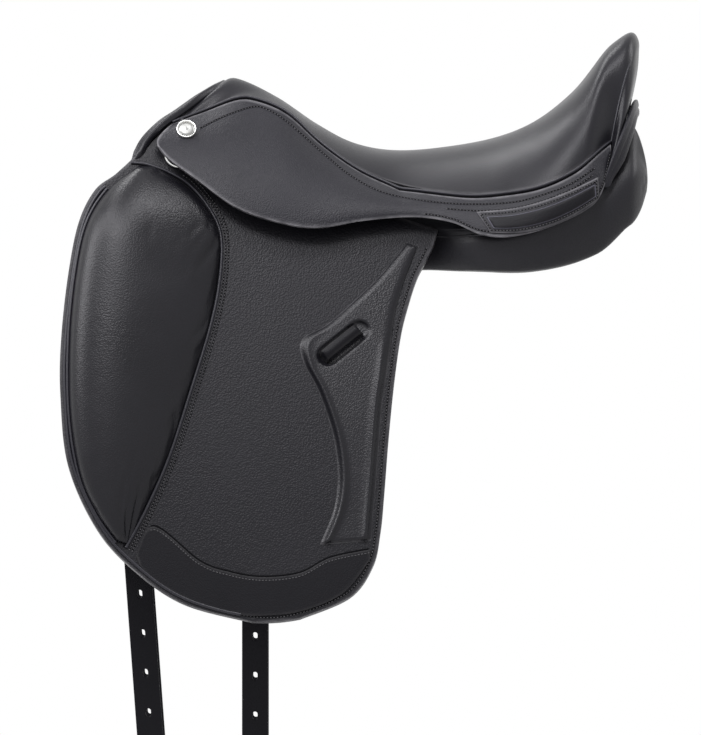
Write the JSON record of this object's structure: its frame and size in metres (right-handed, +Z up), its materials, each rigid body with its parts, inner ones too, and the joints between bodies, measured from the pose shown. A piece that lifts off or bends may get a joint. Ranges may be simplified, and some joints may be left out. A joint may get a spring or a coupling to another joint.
{
  "type": "dressage saddle",
  "caption": "Black leather dressage saddle with long single flaps, padded knee blocks, deep seat, stuffed panels and hanging girth straps.",
  "frame": {"origin": "on the middle line under the deepest point of the seat, at the level where the panels bear on the back", "axes": "+X from pommel to cantle, +Y to the off (right) side, +Z up"},
  "size_m": [0.5638, 0.4638, 0.8524],
  "materials": {
    "black_leather": "grained black bridle leather",
    "seat_leather": "smooth soft black calf leather",
    "steel": "forged steel",
    "nickel": "polished nickel plate",
    "tree_plastic": "moulded reinforced nylon",
    "webbing": "woven nylon web",
    "foam": "foam and wool flock"
  },
  "bodies": {
    "saddle": {"tree": "tree_plastic", "gullet_plate": "steel", "tree_wing_left": "tree_plastic", "tree_wing_right": "tree_plastic", "tree_springs": "steel", "head_rivets": "steel", "seat_webs": "webbing", "seat_foam_pad": "foam", "seat_cover": "seat_leather", "cantle_facing": "seat_leather", "cantle_binding": "black_leather", "pommel_binding": "seat_leather", "seat_welt_left": "black_leather", "seat_welt_right": "black_leather", "skirt_left": "black_leather", "skirt_right": "black_leather", "skirt_patch_left": "seat_leather", "skirt_patch_right": "seat_leather", "head_nails": "nickel", "stirrup_bar_left": "steel", "stirrup_bar_right": "steel", "bar_rivets": "steel", "catch_pins": "steel", "dee_chape_left": "black_leather", "dee_chape_right": "black_leather", "flap_head_left": "black_leather", "flap_head_right": "black_leather", "panel_cover_left": "seat_leather", "panel_cover_right": "seat_leather", "panel_flock_left": "foam", "panel_flock_right": "foam", "sling_front_left": "webbing", "sling_front_right": "webbing", "sling_rear_left": "webbing", "sling_rear_right": "webbing"},
    "flap_left": {"flap_left": "black_leather", "wear_leather_left": "black_leather", "moulding_left": "black_leather", "keeper_left": "black_leather", "block_core_left": "foam", "block_cover_left": "seat_leather"},
    "skirt_fold_left": {"skirt_fold_left": "black_leather"},
    "catch_left": {"bar_catch_left": "steel"},
    "dee_left": {"dee_left": "nickel"},
    "billet_front_left": {"billet_front_left": "black_leather"},
    "billet_rear_left": {"billet_rear_left": "black_leather"},
    "flap_right": {"flap_right": "black_leather", "wear_leather_right": "black_leather", "moulding_right": "black_leather", "keeper_right": "black_leather", "block_core_right": "foam", "block_cover_right": "seat_leather"},
    "skirt_fold_right": {"skirt_fold_right": "black_leather"},
    "catch_right": {"bar_catch_right": "steel"},
    "dee_right": {"dee_right": "nickel"},
    "billet_front_right": {"billet_front_right": "black_leather"},
    "billet_rear_right": {"billet_rear_right": "black_leather"}
  },
  "joints": [
    {"name": "flap_left_lift", "type": "hinge", "parent": "saddle", "child": "flap_left", "pos_m": [-0.24, -0.096, 0.106], "axis": [-0.9525, 0.0896, 0.2912], "range_deg": [0, 24]},
    {"name": "skirt_left_lift", "type": "hinge", "parent": "saddle", "child": "skirt_fold_left", "pos_m": [-0.2243, -0.09876, 0.13043], "axis": [-0.9357, 0.1601, 0.3145], "range_deg": [0, 60]},
    {"name": "catch_left_turn", "type": "hinge", "parent": "saddle", "child": "catch_left", "pos_m": [-0.09198, -0.11153, 0.07757], "axis": [0.0228, -0.9321, 0.3615], "range_deg": [0, 45]},
    {"name": "dee_left_swing", "type": "hinge", "parent": "saddle", "child": "dee_left", "pos_m": [-0.21039, -0.09535, 0.11485], "axis": [-0.9525, 0.0896, 0.2912], "range_deg": [0, 8]},
    {"name": "billet_front_left_swing", "type": "hinge", "parent": "saddle", "child": "billet_front_left", "pos_m": [-0.268, -0.13325, -0.05932], "axis": [0.9973, 0, 0.0732], "range_deg": [0, 12]},
    {"name": "billet_rear_left_swing", "type": "hinge", "parent": "saddle", "child": "billet_rear_left", "pos_m": [-0.139, -0.12827, -0.0454], "axis": [1, 0, 0], "range_deg": [0, 12]},
    {"name": "flap_right_lift", "type": "hinge", "parent": "saddle", "child": "flap_right", "pos_m": [-0.24, 0.096, 0.106], "axis": [0.9525, 0.0896, -0.2912], "range_deg": [0, 24]},
    {"name": "skirt_right_lift", "type": "hinge", "parent": "saddle", "child": "skirt_fold_right", "pos_m": [-0.2243, 0.09876, 0.13043], "axis": [0.9357, 0.1601, -0.3145], "range_deg": [0, 60]},
    {"name": "catch_right_turn", "type": "hinge", "parent": "saddle", "child": "catch_right", "pos_m": [-0.09198, 0.11153, 0.07757], "axis": [-0.0228, -0.9321, -0.3615], "range_deg": [0, 45]},
    {"name": "dee_right_swing", "type": "hinge", "parent": "saddle", "child": "dee_right", "pos_m": [-0.21039, 0.09535, 0.11485], "axis": [0.9525, 0.0896, -0.2912], "range_deg": [0, 8]},
    {"name": "billet_front_right_swing", "type": "hinge", "parent": "saddle", "child": "billet_front_right", "pos_m": [-0.268, 0.13325, -0.05932], "axis": [-0.9973, 0, -0.0732], "range_deg": [0, 12]},
    {"name": "billet_rear_right_swing", "type": "hinge", "parent": "saddle", "child": "billet_rear_right", "pos_m": [-0.139, 0.12827, -0.0454], "axis": [-1, 0, 0], "range_deg": [0, 12]}
  ]
}
